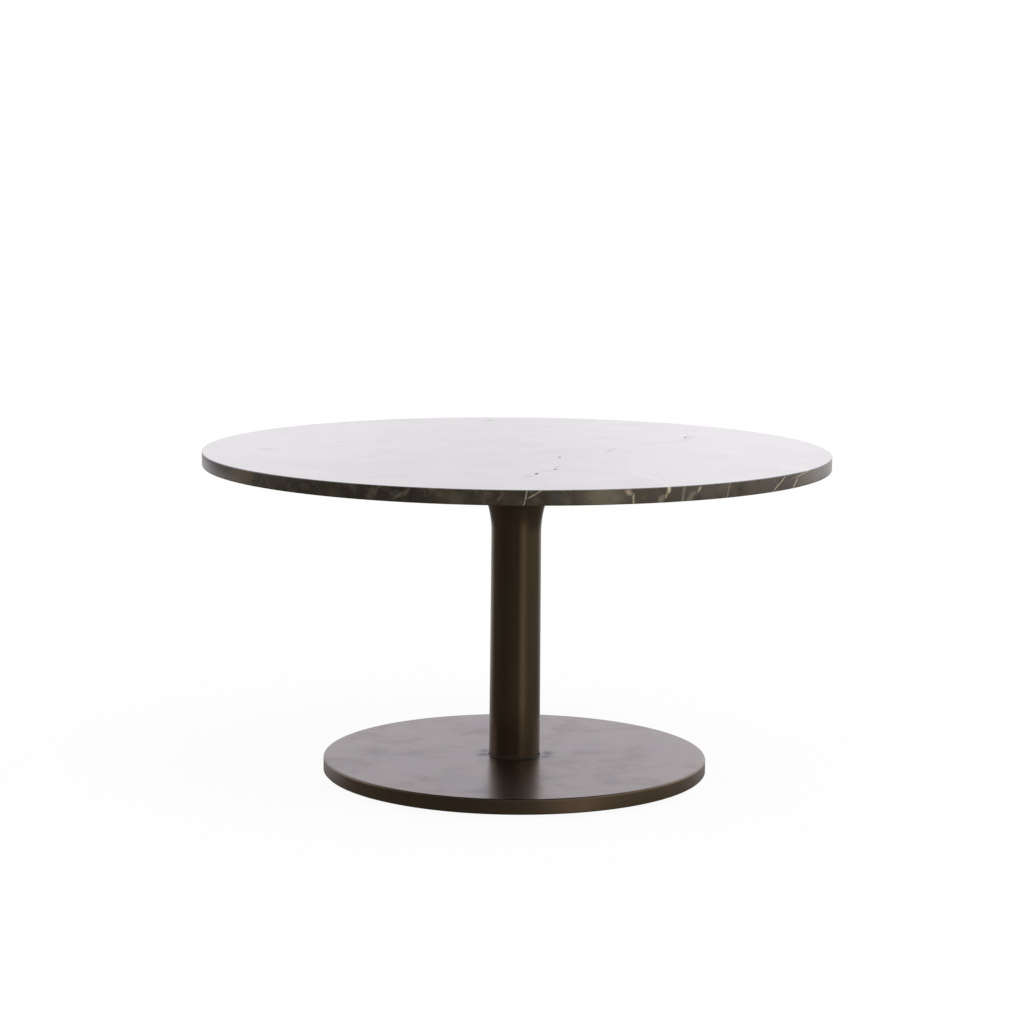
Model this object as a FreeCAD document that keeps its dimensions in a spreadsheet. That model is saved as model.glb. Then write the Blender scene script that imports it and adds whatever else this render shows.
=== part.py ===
import FreeCAD, Part
import math
import os
from types import SimpleNamespace

import Sketcher

# A low round cocktail table: a polished marble disc on a cast pedestal.
# The pedestal is a heavy flat base plate, a hollow column whose head flares
# out like a trumpet, and a hidden mounting plate that is bolted to the stone.
# One long tie rod inside the column clamps base, column and plate together.
# The table stands on screw glides with swivelling soles, for levelling.
# The origin is on the floor under the centre, and +Z is up.

# Driving dimensions, in millimetres.
SIZES = {
    # Glide sole: a soft disc that snaps over the button below the stud.
    "sole_diameter": 30.0,
    "sole_height": 2.5,
    "sole_bevel": 0.5,
    "sole_lip": 0.8,
    "button_diameter": 8.4,
    "button_height": 0.8,
    "button_side_clearance": 0.3,
    "button_end_clearance": 0.1,
    "swivel_neck_diameter": 6.0,
    "swivel_neck_clearance": 0.05,
    # Glide knob: a fluted disc, turned by hand, that holds the stud's hexagon.
    "knob_diameter": 34.0,
    "knob_height": 3.0,
    "knob_web": 1.0,
    "knob_flute_radius": 3.0,
    "knob_flute_depth": 1.2,
    "knob_bore_clearance": 0.05,
    # Glide stud: an M8 screw in a blind hole of the base plate.
    "stud_diameter": 8.0,
    "stud_head_flats": 13.0,
    "stud_tip_chamfer": 0.8,
    "stud_hole_clearance": 0.05,
    "stud_hole_spare": 1.0,
    "stud_hole_cover": 4.0,
    "glide_inset": 51.5,
    # Base plate.
    "base_diameter": 463.0,
    "base_thickness": 18.0,
    "base_rim_radius": 2.5,
    "base_bevel": 1.5,
    "wrench_room": 7.5,
    # Column: a slightly tapered casting with a flared head and a coved foot.
    "column_height": 349.0,
    "column_foot_diameter": 61.5,
    "column_neck_diameter": 60.0,
    "column_wall": 5.0,
    "flare_radius": 120.0,
    "flare_height": 76.0,
    "foot_cove_radius": 2.5,
    "foot_lip": 0.3,
    "register_depth": 3.0,
    "register_clearance": 0.3,
    "spigot_height": 8.0,
    "spigot_clearance": 0.4,
    # Tie rod with its nut and washers.
    "rod_diameter": 12.0,
    "rod_hole_clearance": 0.5,
    "rod_end_spare": 1.0,
    "rod_end_margin": 0.5,
    "rod_top_gap": 0.5,
    "thread_clearance": 0.05,
    "rod_washer_diameter": 37.0,
    "rod_washer_thickness": 3.0,
    "spring_washer_diameter": 21.0,
    "spring_washer_thickness": 2.5,
    "nut_flats": 18.0,
    "nut_height": 6.0,
    # Mounting plate with its boss and centring ring.
    "plate_diameter": 260.0,
    "plate_thickness": 4.0,
    "plate_bevel": 1.0,
    "boss_diameter": 26.0,
    "boss_height": 18.0,
    "ring_wall": 6.0,
    # Gasket between the plate and the stone.
    "gasket_thickness": 2.0,
    "gasket_margin": 5.0,
    "gasket_band": 50.0,
    # Marble top and its threaded inserts.
    "top_diameter": 750.0,
    "top_thickness": 17.0,
    "top_arris": 1.0,
    "stone_over_insert": 7.0,
    "insert_diameter": 10.0,
    "insert_glue_gap": 0.2,
    "insert_end_gap": 1.0,
    # Bolts that hold the top, with their washers.
    "bolt_edge_distance": 25.0,
    "bolt_diameter": 6.0,
    "bolt_hole_clearance": 0.3,
    "bolt_end_gap": 1.6,
    "bolt_head_flats": 10.0,
    "bolt_head_height": 4.0,
    "bolt_washer_diameter": 12.0,
    "bolt_washer_thickness": 1.6,
}

GLIDE_COUNT = 4
FIRST_GLIDE_ANGLE = 45
KNOB_FLUTE_COUNT = 12
BOLT_COUNT = 4
FULL_TURN = 360
SPRING_WASHER_GAP_ANGLE = 8

# A sketch counts its own axes down from -1, with its origin at the start of the
# first one, and the start, end and centre of each line or arc up from 1.
X_AXIS, Y_AXIS = range(-1, -3, -1)
ORIGIN = X_AXIS
START, END, CENTRE = range(1, 4)

UP = FreeCAD.Vector(0, 0, 1)


class Size:
    """A length as a number, together with the spreadsheet formula that drives it."""

    def __init__(self, value, formula=None):
        self.value = float(value)
        self.formula = formula or str(value)

    def __add__(self, other):
        other = sized(other)
        return Size(self.value + other.value, f"({self.formula} + {other.formula})")

    def __sub__(self, other):
        other = sized(other)
        return Size(self.value - other.value, f"({self.formula} - {other.formula})")

    def __mul__(self, other):
        other = sized(other)
        return Size(self.value * other.value, f"({self.formula} * {other.formula})")

    def __truediv__(self, other):
        other = sized(other)
        return Size(self.value / other.value, f"({self.formula} / {other.formula})")

    def root(self):
        return Size(math.sqrt(self.value), f"sqrt({self.formula})")


def sized(number):
    """A plain number as a size."""
    return number if isinstance(number, Size) else Size(number)


def polar(radius, angle):
    """The x and y of a point at this radius and at this angle in degrees."""
    x = Size(radius.value * math.cos(math.radians(angle)), f"({radius.formula} * cos({angle}))")
    y = Size(radius.value * math.sin(math.radians(angle)), f"({radius.formula} * sin({angle}))")
    return x, y


def angles_round(count, first=0):
    """Evenly spaced angles of a full turn, in degrees."""
    return [first + FULL_TURN // count * step for step in range(count)]


doc = FreeCAD.newDocument("cocktail_table")
sheet = doc.addObject("Spreadsheet::Sheet", "Sizes")
for row, (name, value) in enumerate(SIZES.items(), start=1):
    sheet.set(f"A{row}", name)
    sheet.set(f"B{row}", str(value))
    sheet.setAlias(f"B{row}", name)
doc.recompute()
dim = SimpleNamespace(**{name: Size(value, f"Sizes.{name}") for name, value in SIZES.items()})

table_parts = []


def keep(part, label):
    """Counts a finished piece as one of the table's sub-parts."""
    part.Label = label
    table_parts.append(part)


def place(part, z, x=0, y=0):
    """Puts a piece at its place in the table."""
    for axis, size in (("x", x), ("y", y), ("z", z)):
        part.setExpression(f"Placement.Base.{axis}", sized(size).formula)


def origin_part(body, role):
    """One of a body's own origin planes or axes."""
    return next(part for part in body.Origin.OriginFeatures if part.Role == role)


def new_sketch(body, plane):
    """An empty sketch on one of a body's origin planes."""
    sketch = body.newObject("Sketcher::SketchObject", f"{body.Name}_sketch")
    sketch.AttachmentSupport = (origin_part(body, plane), [""])
    sketch.MapMode = "FlatFace"
    return sketch


def drive(sketch, kind, where, size):
    """Adds a dimension to a sketch and ties it to the spreadsheet."""
    number = sketch.addConstraint(Sketcher.Constraint(kind, *where, size.value))
    sketch.setExpression(f"Constraints[{number}]", size.formula)


def pin_point(sketch, side, end, x, y):
    """Fixes a point of a sketch. A plain 0 keeps it on the axis."""
    for kind, axis, size in (("DistanceX", Y_AXIS, x), ("DistanceY", X_AXIS, y)):
        if isinstance(size, Size):
            drive(sketch, kind, (ORIGIN, START, side, end), size)
        else:
            sketch.addConstraint(Sketcher.Constraint("PointOnObject", side, end, axis))


def flat_point(corner):
    """A corner of an outline as a point in its sketch."""
    return FreeCAD.Vector(sized(corner[0]).value, sized(corner[1]).value, 0)


def arc_between(start, end, bend, radius):
    """The short arc from start to end, which bends to the left or right on its way."""
    chord = end - start
    to_centre = UP.cross(chord).normalize() * math.sqrt(radius**2 - (chord.Length / 2) ** 2)
    centre = start + chord / 2 + (to_centre if bend == "left" else -to_centre)
    first, last = (start, end) if bend == "left" else (end, start)
    first_angle = math.atan2(first.y - centre.y, first.x - centre.x)
    last_angle = math.atan2(last.y - centre.y, last.x - centre.x)
    return Part.ArcOfCircle(Part.Circle(centre, UP, radius), first_angle, last_angle)


def draw(sketch, outline):
    """Draws a closed outline of corners (x, y). A corner (x, y, bend, radius) starts an arc."""
    ends = []
    following = outline[1:] + outline[:1]
    for corner, target in zip(outline, following):
        start = flat_point(corner)
        end = flat_point(target)
        if len(corner) == 2:
            sketch.addGeometry(Part.LineSegment(start, end))
            ends.append((START, END))
        else:
            bend, radius = corner[2:]
            sketch.addGeometry(arc_between(start, end, bend, radius.value))
            ends.append((START, END) if bend == "left" else (END, START))
    for side, corner in enumerate(outline):
        later = (side + 1) % len(outline)
        joint = (side, ends[side][1], later, ends[later][0])
        sketch.addConstraint(Sketcher.Constraint("Coincident", *joint))
        pin_point(sketch, side, ends[side][0], *corner[:2])
        if len(corner) > 2:
            drive(sketch, "Radius", (side,), corner[3])


def lathe(name, outline, turn=FULL_TURN):
    """A body turned about Z from half of its section, given as (radius, height) corners."""
    body = doc.addObject("PartDesign::Body", name)
    sketch = new_sketch(body, "XZ_Plane")
    draw(sketch, outline)
    turned = body.newObject("PartDesign::Revolution", f"{name}_turned")
    turned.Profile = sketch
    turned.ReferenceAxis = (sketch, ["V_Axis"])
    turned.Angle = turn
    return body


def ring(name, inner, outer, height, turn=FULL_TURN):
    """A flat ring or washer that stands on its own origin."""
    outline = [(inner, 0), (outer, 0), (outer, height), (inner, height)]
    return lathe(name, outline, turn)


def circle_sketch(body, radius, x=0, y=0):
    """A circle on the plane of a body's underside."""
    sketch = new_sketch(body, "XY_Plane")
    sketch.addGeometry(Part.Circle(flat_point((x, y)), UP, radius.value))
    drive(sketch, "Radius", (0,), radius)
    pin_point(sketch, 0, CENTRE, x, y)
    return sketch


def hexagon_sketch(body, flats):
    """A hexagon on the plane of a body's underside, by its width across flats."""
    sketch = new_sketch(body, "XY_Plane")
    radius = flats / sized(3).root()
    corners = [flat_point(polar(radius, angle)) for angle in angles_round(6)]
    sides = list(zip(corners, corners[1:] + corners[:1]))
    for start, end in sides:
        sketch.addGeometry(Part.LineSegment(start, end))
    rim = sketch.addGeometry(Part.Circle(FreeCAD.Vector(), UP, radius.value), True)
    for side in range(len(sides)):
        later = (side + 1) % len(sides)
        sketch.addConstraint(Sketcher.Constraint("Coincident", side, END, later, START))
        sketch.addConstraint(Sketcher.Constraint("PointOnObject", side, END, rim))
        if later:
            sketch.addConstraint(Sketcher.Constraint("Equal", 0, later))
    sketch.addConstraint(Sketcher.Constraint("Coincident", rim, CENTRE, ORIGIN, START))
    sketch.addConstraint(Sketcher.Constraint("PointOnObject", 0, START, X_AXIS))
    drive(sketch, "Radius", (rim,), radius)
    return sketch


def raise_from(body, sketch, height):
    """Adds a pad that rises from a body's underside."""
    pad = body.newObject("PartDesign::Pad", f"{body.Name}_pad")
    pad.Profile = sketch
    pad.setExpression("Length", height.formula)


def sink_into(body, sketch, depth):
    """Cuts a pocket up into a body from its underside."""
    pocket = body.newObject("PartDesign::Pocket", f"{body.Name}_pocket")
    pocket.Profile = sketch
    pocket.Reversed = True
    pocket.setExpression("Length", depth.formula)
    return pocket


def repeat_round(body, feature, count):
    """Repeats a feature evenly round a body's axis."""
    pattern = body.newObject("PartDesign::PolarPattern", f"{body.Name}_round")
    pattern.Originals = [feature]
    pattern.Axis = (origin_part(body, "Z_Axis"), [""])
    pattern.Angle = FULL_TURN
    pattern.Occurrences = count
    body.Tip = pattern


def disc(name, radius, height, bevel):
    """A round plate with a fine bevel on both rims."""
    outline = [
        (0, 0),
        (radius - bevel, 0),
        (radius, bevel),
        (radius, height - bevel),
        (radius - bevel, height),
        (0, height),
    ]
    return lathe(name, outline)


def group(label, pieces):
    """Like pieces that share one node."""
    together = doc.addObject("Part::Compound", label)
    together.Links = pieces
    keep(together, label)


# Levels of the stack, from the floor up.
base_level = dim.sole_height + dim.knob_height
column_level = base_level + dim.base_thickness
plate_level = column_level + dim.column_height
gasket_level = plate_level + dim.plate_thickness
top_level = gasket_level + dim.gasket_thickness

# Fits that two or more pieces share.
stud_hole_depth = dim.base_thickness - dim.stud_hole_cover
stud_reach = stud_hole_depth - dim.stud_hole_spare
stud_head_height = dim.knob_height - dim.knob_web
base_radius = dim.base_diameter / 2
glide_circle_radius = base_radius - dim.glide_inset
rod_radius = dim.rod_diameter / 2
rod_hole_radius = rod_radius + dim.rod_hole_clearance
rod_thread_radius = rod_radius + dim.thread_clearance
rod_stack = dim.rod_washer_thickness + dim.spring_washer_thickness + dim.nut_height
recess_depth = rod_stack + dim.rod_end_spare + dim.rod_end_margin
foot_radius = dim.column_foot_diameter / 2
neck_radius = dim.column_neck_diameter / 2
flare_centre = neck_radius + dim.flare_radius
flare_level = dim.column_height - dim.flare_height
head_rise = dim.flare_radius * dim.flare_radius - dim.flare_height * dim.flare_height
head_radius = flare_centre - head_rise.root()
register_radius = head_radius - dim.column_wall
bolt_circle_radius = dim.plate_diameter / 2 - dim.bolt_edge_distance
bolt_radius = dim.bolt_diameter / 2
bolt_hole_radius = bolt_radius + dim.bolt_hole_clearance
insert_hole_depth = dim.top_thickness - dim.stone_over_insert
insert_length = insert_hole_depth - dim.insert_end_gap
bolt_reach = dim.plate_thickness + dim.gasket_thickness + insert_length - dim.bolt_end_gap


# Swivel glides: each has a sole that stays still on the floor, and a stud
# and knob that turn together and screw down out of the base plate.
def glide_sole(name):
    """A soft disc with an undercut pocket, open at the top, for the stud's button."""
    radius = dim.sole_diameter / 2
    lip_radius = dim.swivel_neck_diameter / 2 + dim.swivel_neck_clearance
    pocket_radius = dim.button_diameter / 2 + dim.button_side_clearance
    pocket_top = dim.sole_height - dim.sole_lip
    pocket_floor = pocket_top - dim.button_height - dim.button_end_clearance * 2
    outline = [
        (0, 0),
        (radius - dim.sole_bevel, 0),
        (radius, dim.sole_bevel),
        (radius, dim.sole_height),
        (lip_radius, dim.sole_height),
        (lip_radius, pocket_top),
        (pocket_radius, pocket_top),
        (pocket_radius, pocket_floor),
        (0, pocket_floor),
    ]
    return lathe(name, outline)


def glide_stud(name):
    """A hexagon-headed screw. Its neck and button hang below the head."""
    button_radius = dim.button_diameter / 2
    neck = dim.swivel_neck_diameter / 2
    shank = dim.stud_diameter / 2
    button_top = dim.button_height
    head_under = button_top + dim.button_end_clearance + dim.sole_lip
    tip = head_under + dim.knob_height + stud_reach
    outline = [
        (0, 0),
        (button_radius, 0),
        (button_radius, button_top),
        (neck, button_top),
        (neck, head_under),
        (shank, head_under),
        (shank, tip - dim.stud_tip_chamfer),
        (shank - dim.stud_tip_chamfer, tip),
        (0, tip),
    ]
    body = lathe(name, outline)
    head = hexagon_sketch(body, dim.stud_head_flats)
    head.setExpression("AttachmentOffset.Base.z", head_under.formula)
    raise_from(body, head, stud_head_height)
    return body


def glide_knob(name):
    """A fluted disc with a hexagon pocket below and a bore for the shank."""
    body = doc.addObject("PartDesign::Body", name)
    radius = dim.knob_diameter / 2
    raise_from(body, circle_sketch(body, radius), dim.knob_height)
    flute_centre = radius + dim.knob_flute_radius - dim.knob_flute_depth
    flute = circle_sketch(body, dim.knob_flute_radius, flute_centre)
    repeat_round(body, sink_into(body, flute, dim.knob_height), KNOB_FLUTE_COUNT)
    pocket_flats = dim.stud_head_flats + dim.knob_bore_clearance * 2
    sink_into(body, hexagon_sketch(body, pocket_flats), stud_head_height)
    bore_radius = dim.stud_diameter / 2 + dim.knob_bore_clearance
    sink_into(body, circle_sketch(body, bore_radius), dim.knob_height)
    return body


button_level = dim.sole_height - dim.sole_lip - dim.button_end_clearance - dim.button_height
for number, angle in enumerate(angles_round(GLIDE_COUNT, FIRST_GLIDE_ANGLE), start=1):
    x, y = polar(glide_circle_radius, angle)
    sole = glide_sole(f"glide_sole_{number}")
    place(sole, 0, x, y)
    keep(sole, f"glide_sole_{number}")
    stud = glide_stud(f"glide_stud_{number}")
    place(stud, button_level, x, y)
    keep(stud, f"glide_stud_{number}")
    knob = glide_knob(f"glide_knob_{number}")
    place(knob, dim.sole_height, x, y)
    keep(knob, f"glide_knob_{number}")


# Base plate: a heavy cast disc with a rounded upper rim. Its underside has a
# recess for the tie rod's nut, and one tapped blind hole for each glide.
base_plate = lathe(
    "base_plate",
    [
        (0, 0),
        (base_radius - dim.base_bevel, 0),
        (base_radius, dim.base_bevel),
        (base_radius, dim.base_thickness - dim.base_rim_radius, "left", dim.base_rim_radius),
        (base_radius - dim.base_rim_radius, dim.base_thickness),
        (0, dim.base_thickness),
    ],
)
recess_radius = dim.rod_washer_diameter / 2 + dim.wrench_room
sink_into(base_plate, circle_sketch(base_plate, recess_radius), recess_depth)
sink_into(base_plate, circle_sketch(base_plate, rod_hole_radius), dim.base_thickness)
stud_hole_radius = dim.stud_diameter / 2 + dim.stud_hole_clearance
stud_hole_centre = polar(glide_circle_radius, FIRST_GLIDE_ANGLE)
stud_hole = circle_sketch(base_plate, stud_hole_radius, *stud_hole_centre)
repeat_round(base_plate, sink_into(base_plate, stud_hole, stud_hole_depth), GLIDE_COUNT)
place(base_plate, base_level)
keep(base_plate, "base_plate")


# Foot spigot: a turned collar on the base plate that centres the column.
spigot_radius = foot_radius - dim.column_wall - dim.spigot_clearance
foot_spigot = ring("foot_spigot", rod_hole_radius, spigot_radius, dim.spigot_height)
place(foot_spigot, column_level)
keep(foot_spigot, "foot_spigot")


# Column: one hollow casting. A small cove meets the base plate, the sides
# taper a little, and the head flares in an arc of an even wall.
def flare_inside(height):
    """The radius of the flare's inner face at a height above its start."""
    inner = dim.flare_radius + dim.column_wall
    return flare_centre - (inner * inner - height * height).root()


cove = dim.foot_cove_radius
lip_top = dim.foot_lip
register_level = dim.column_height - dim.register_depth
column = lathe(
    "column",
    [
        (foot_radius - dim.column_wall, 0),
        (foot_radius + cove, 0),
        (foot_radius + cove, lip_top, "right", cove),
        (foot_radius, lip_top + cove),
        (neck_radius, flare_level, "right", dim.flare_radius),
        (head_radius, dim.column_height),
        (register_radius, dim.column_height),
        (register_radius, register_level),
        (
            flare_inside(dim.flare_height - dim.register_depth),
            register_level,
            "left",
            dim.flare_radius + dim.column_wall,
        ),
        (neck_radius - dim.column_wall, flare_level),
    ],
)
place(column, column_level)
keep(column, "column")


# Tie rod: it is screwed into the boss above and drawn tight by the nut
# in the base plate's recess, over a wide washer and a spring washer.
washer_level = base_level + recess_depth - dim.rod_washer_thickness
spring_level = washer_level - dim.spring_washer_thickness
nut_level = spring_level - dim.nut_height
rod_level = nut_level - dim.rod_end_spare
rod_length = plate_level - dim.rod_top_gap - rod_level
tie_rod = lathe("tie_rod", [(0, 0), (rod_radius, 0), (rod_radius, rod_length), (0, rod_length)])
place(tie_rod, rod_level)
keep(tie_rod, "tie_rod")

rod_washer = ring(
    "rod_washer", rod_hole_radius, dim.rod_washer_diameter / 2, dim.rod_washer_thickness
)
place(rod_washer, washer_level)
keep(rod_washer, "rod_washer")

rod_spring_washer = ring(
    "rod_spring_washer",
    rod_hole_radius,
    dim.spring_washer_diameter / 2,
    dim.spring_washer_thickness,
    FULL_TURN - SPRING_WASHER_GAP_ANGLE,
)
place(rod_spring_washer, spring_level)
keep(rod_spring_washer, "rod_spring_washer")

rod_nut = doc.addObject("PartDesign::Body", "rod_nut")
raise_from(rod_nut, hexagon_sketch(rod_nut, dim.nut_flats), dim.nut_height)
sink_into(rod_nut, circle_sketch(rod_nut, rod_thread_radius), dim.nut_height)
place(rod_nut, nut_level)
keep(rod_nut, "rod_nut")


# Rod boss: a round tapped block, welded under the middle of the plate.
rod_boss = ring("rod_boss", rod_thread_radius, dim.boss_diameter / 2, dim.boss_height)
place(rod_boss, plate_level - dim.boss_height)
keep(rod_boss, "rod_boss")


# Centring ring: welded under the plate, it drops into the column's head.
ring_radius = register_radius - dim.register_clearance
ring_height = dim.register_depth - dim.register_clearance
centring_ring = ring("centring_ring", ring_radius - dim.ring_wall, ring_radius, ring_height)
place(centring_ring, plate_level - ring_height)
keep(centring_ring, "centring_ring")


# Mounting plate: a steel disc that carries the stone.
plate = disc("mounting_plate", dim.plate_diameter / 2, dim.plate_thickness, dim.plate_bevel)
plate_hole = circle_sketch(plate, bolt_hole_radius, bolt_circle_radius)
repeat_round(plate, sink_into(plate, plate_hole, dim.plate_thickness), BOLT_COUNT)
place(plate, plate_level)
keep(plate, "mounting_plate")


# Top gasket: a flat rubber ring that beds the stone on the plate.
gasket_radius = dim.plate_diameter / 2 - dim.gasket_margin
gasket = ring("top_gasket", gasket_radius - dim.gasket_band, gasket_radius, dim.gasket_thickness)
gasket_hole = circle_sketch(gasket, bolt_hole_radius, bolt_circle_radius)
repeat_round(gasket, sink_into(gasket, gasket_hole, dim.gasket_thickness), BOLT_COUNT)
place(gasket, gasket_level)
keep(gasket, "top_gasket")


# Marble top: a sawn and polished disc with a fine arris on both rims, and
# blind holes in the underside for the threaded inserts.
marble_top = disc("marble_top", dim.top_diameter / 2, dim.top_thickness, dim.top_arris)
insert_hole_radius = dim.insert_diameter / 2 + dim.insert_glue_gap
insert_hole = circle_sketch(marble_top, insert_hole_radius, bolt_circle_radius)
repeat_round(marble_top, sink_into(marble_top, insert_hole, insert_hole_depth), BOLT_COUNT)
place(marble_top, top_level)
keep(marble_top, "marble_top")


# Fasteners of the top: brass inserts glued into the stone, and hexagon bolts
# with washers that come up through the plate and the gasket.
def top_bolt(name):
    """A hexagon bolt that stands on its head."""
    body = doc.addObject("PartDesign::Body", name)
    raise_from(body, hexagon_sketch(body, dim.bolt_head_flats), dim.bolt_head_height)
    length = dim.bolt_head_height + dim.bolt_washer_thickness + bolt_reach
    raise_from(body, circle_sketch(body, bolt_radius), length)
    return body


inserts = []
washers = []
bolts = []
bolt_washer_level = plate_level - dim.bolt_washer_thickness
insert_bore_radius = bolt_radius + dim.thread_clearance
bolt_washer_radius = dim.bolt_washer_diameter / 2
for number, angle in enumerate(angles_round(BOLT_COUNT), start=1):
    x, y = polar(bolt_circle_radius, angle)
    insert = ring(f"insert_{number}", insert_bore_radius, dim.insert_diameter / 2, insert_length)
    place(insert, top_level, x, y)
    inserts.append(insert)
    washer = ring(
        f"washer_{number}", bolt_hole_radius, bolt_washer_radius, dim.bolt_washer_thickness
    )
    place(washer, bolt_washer_level, x, y)
    washers.append(washer)
    bolt = top_bolt(f"bolt_{number}")
    place(bolt, bolt_washer_level - dim.bolt_head_height, x, y)
    bolts.append(bolt)
group("top_inserts", inserts)
group("top_washers", washers)
group("top_bolts", bolts)


# The finished table: every feature has to be sound before a piece is written.
doc.recompute()
for item in doc.Objects:
    if {"Invalid", "Error"} & set(item.State):
        raise RuntimeError(f"{item.Label} could not be made: {item.State}")
for part in table_parts:
    if part.Shape.isNull() or not part.Shape.isValid():
        raise RuntimeError(f"{part.Label} has no sound shape")

os.makedirs("parts", exist_ok=True)
for part in table_parts:
    part.Shape.exportStep(f"parts/{part.Label}.step")
    print(part.Label, len(part.Shape.Solids), round(part.Shape.Volume, 1))
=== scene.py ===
import math
from collections import namedtuple

import bmesh
import bpy
from mathutils import Matrix, Vector


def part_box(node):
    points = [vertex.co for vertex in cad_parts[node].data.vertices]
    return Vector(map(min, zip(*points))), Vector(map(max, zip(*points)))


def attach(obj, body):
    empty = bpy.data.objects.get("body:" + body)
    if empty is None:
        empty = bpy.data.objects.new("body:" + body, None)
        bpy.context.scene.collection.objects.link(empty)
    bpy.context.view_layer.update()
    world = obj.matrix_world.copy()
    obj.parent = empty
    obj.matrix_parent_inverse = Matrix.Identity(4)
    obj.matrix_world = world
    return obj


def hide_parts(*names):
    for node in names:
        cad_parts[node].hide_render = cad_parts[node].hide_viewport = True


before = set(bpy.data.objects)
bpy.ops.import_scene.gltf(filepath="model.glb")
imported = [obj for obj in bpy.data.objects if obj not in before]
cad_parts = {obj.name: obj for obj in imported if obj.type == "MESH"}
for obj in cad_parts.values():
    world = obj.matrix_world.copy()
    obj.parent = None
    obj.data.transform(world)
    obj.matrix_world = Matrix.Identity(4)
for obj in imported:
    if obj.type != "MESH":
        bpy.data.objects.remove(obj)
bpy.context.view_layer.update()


# Glide soles: four soft discs of grey rubber on which the table stands. Each is
# moulded with a rounded foot, and snaps over the button below its stud.
MM = 0.001
GLIDES = (1, 2, 3, 4)
SMALL_STEPS = 72
SMOOTH_ANGLE = math.radians(32)


class Shade:
    """A value, colour or vector in a node tree, with sums written as on paper."""

    def __init__(self, tree, socket=None):
        self.tree = tree
        self.socket = socket

    def node(self, kind, settings, sockets, output=0):
        """Adds a node: its settings first, then the values or links of its sockets."""
        made = self.tree.nodes.new(kind)
        for name, setting in settings.items():
            setattr(made, name, setting)
        for name, value in sockets.items():
            if isinstance(value, Shade):
                self.tree.links.new(value.socket, made.inputs[name])
            else:
                made.inputs[name].default_value = value
        return Shade(self.tree, made.outputs[output] if made.outputs else None)

    def reckon(self, operation, first, second):
        """One step of arithmetic, on values or on vectors."""
        sides = [first, second]
        wide = [side for side in sides if isinstance(side, Shade) and side.socket.type != "VALUE"]
        if not wide:
            return self.node("ShaderNodeMath", {"operation": operation}, {0: first, 1: second})
        sides = [side if isinstance(side, (Shade, tuple)) else (side,) * 3 for side in sides]
        return self.node("ShaderNodeVectorMath", {"operation": operation}, {0: sides[0], 1: sides[1]})

    def __add__(self, other):
        return self.reckon("ADD", self, other)

    __radd__ = __add__

    def __sub__(self, other):
        return self.reckon("SUBTRACT", self, other)

    def __rsub__(self, other):
        return self.reckon("SUBTRACT", other, self)

    def __mul__(self, other):
        return self.reckon("MULTIPLY", self, other)

    __rmul__ = __mul__

    def __abs__(self):
        return self.node("ShaderNodeMath", {"operation": "ABSOLUTE"}, {0: self})

    def larger(self, other):
        """The larger of two values."""
        return self.reckon("MAXIMUM", self, other)

    def step(self, low, high):
        """Rises smoothly from 0 at low to 1 at high, or falls where low is the larger."""
        ends = {"Value": self, "From Min": low, "From Max": high}
        return self.node("ShaderNodeMapRange", {"interpolation_type": "SMOOTHSTEP"}, ends)

    def mix(self, colour, other):
        """This value picks between two colours."""
        sides = {0: self, 6: colour, 7: other}
        return self.node("ShaderNodeMix", {"data_type": "RGBA"}, sides, 2)

    def noise(self, place, scale, detail=2.0, roughness=0.5, output="Fac"):
        """Cloudy noise, with about so many clouds to the metre."""
        sockets = {"Vector": place, "Scale": scale, "Detail": detail, "Roughness": roughness}
        return self.node("ShaderNodeTexNoise", {}, sockets, output)

    def length(self):
        """How long a vector is."""
        return self.node("ShaderNodeVectorMath", {"operation": "LENGTH"}, {0: self}, "Value")

    def distance(self, point):
        """How far a place is from a point."""
        ends = {0: self, 1: point}
        return self.node("ShaderNodeVectorMath", {"operation": "DISTANCE"}, ends, "Value")

    def bump(self, height, distance):
        """The normal of a surface whose relief is this many metres deep."""
        return self.node("ShaderNodeBump", {}, {"Height": height, "Distance": distance})


def colour(red, green, blue):
    """An opaque colour, as the sockets take it."""
    return (red, green, blue, 1)


def new_finish(name):
    """An empty material, and the start of its node tree."""
    finish = bpy.data.materials.new(name)
    finish.use_nodes = True
    finish.node_tree.nodes.clear()
    return finish, Shade(finish.node_tree)


def coat(start, **sockets):
    """Ends a material with a Principled shader, whose sockets are named with underscores."""
    named = {name.replace("_", " "): value for name, value in sockets.items()}
    shader = start.node("ShaderNodeBsdfPrincipled", {}, named)
    start.node("ShaderNodeOutputMaterial", {}, {"Surface": shader})


def place_of(start):
    """Where a point lies on the table, in metres."""
    return start.node("ShaderNodeTexCoord", {}, {}, "Object")


def moulded(name, dark, light, roughness, grain, depth):
    """Rubber or nylon from a mould: a matt skin with a fine grain and paler rubbed clouds."""
    finish, start = new_finish(name)
    place = place_of(start)
    clouds = start.noise(place, 70, 3, 0.55)
    speckle = start.noise(place, grain, 2, 0.6)
    tone = (clouds * 0.6 + speckle * 0.4).step(0.35, 0.65).mix(dark, light)
    coat(
        start,
        Base_Color=tone,
        Roughness=roughness + clouds * 0.2,
        Normal=start.bump(speckle, depth),
    )
    return finish


def arc(centre, radius, first, last, count):
    """Points of an arc in a section, from one angle to another in degrees."""
    angles = [math.radians(first + (last - first) * i / count) for i in range(count + 1)]
    return [(centre[0] + radius * math.cos(a), centre[1] + radius * math.sin(a)) for a in angles]


def add_ring(mesh, radius, height, steps, x=0.0, y=0.0):
    """A ring of points round an upright axis, or one point on it. Sizes may vary with the angle."""
    if radius == 0:
        return [mesh.verts.new((x, y, height))] * steps
    ring = []
    for turn in (2 * math.pi * i / steps for i in range(steps)):
        out = radius(turn) if callable(radius) else radius
        up = height(turn) if callable(height) else height
        ring.append(mesh.verts.new((x + out * math.cos(turn), y + out * math.sin(turn), up)))
    return ring


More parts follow.
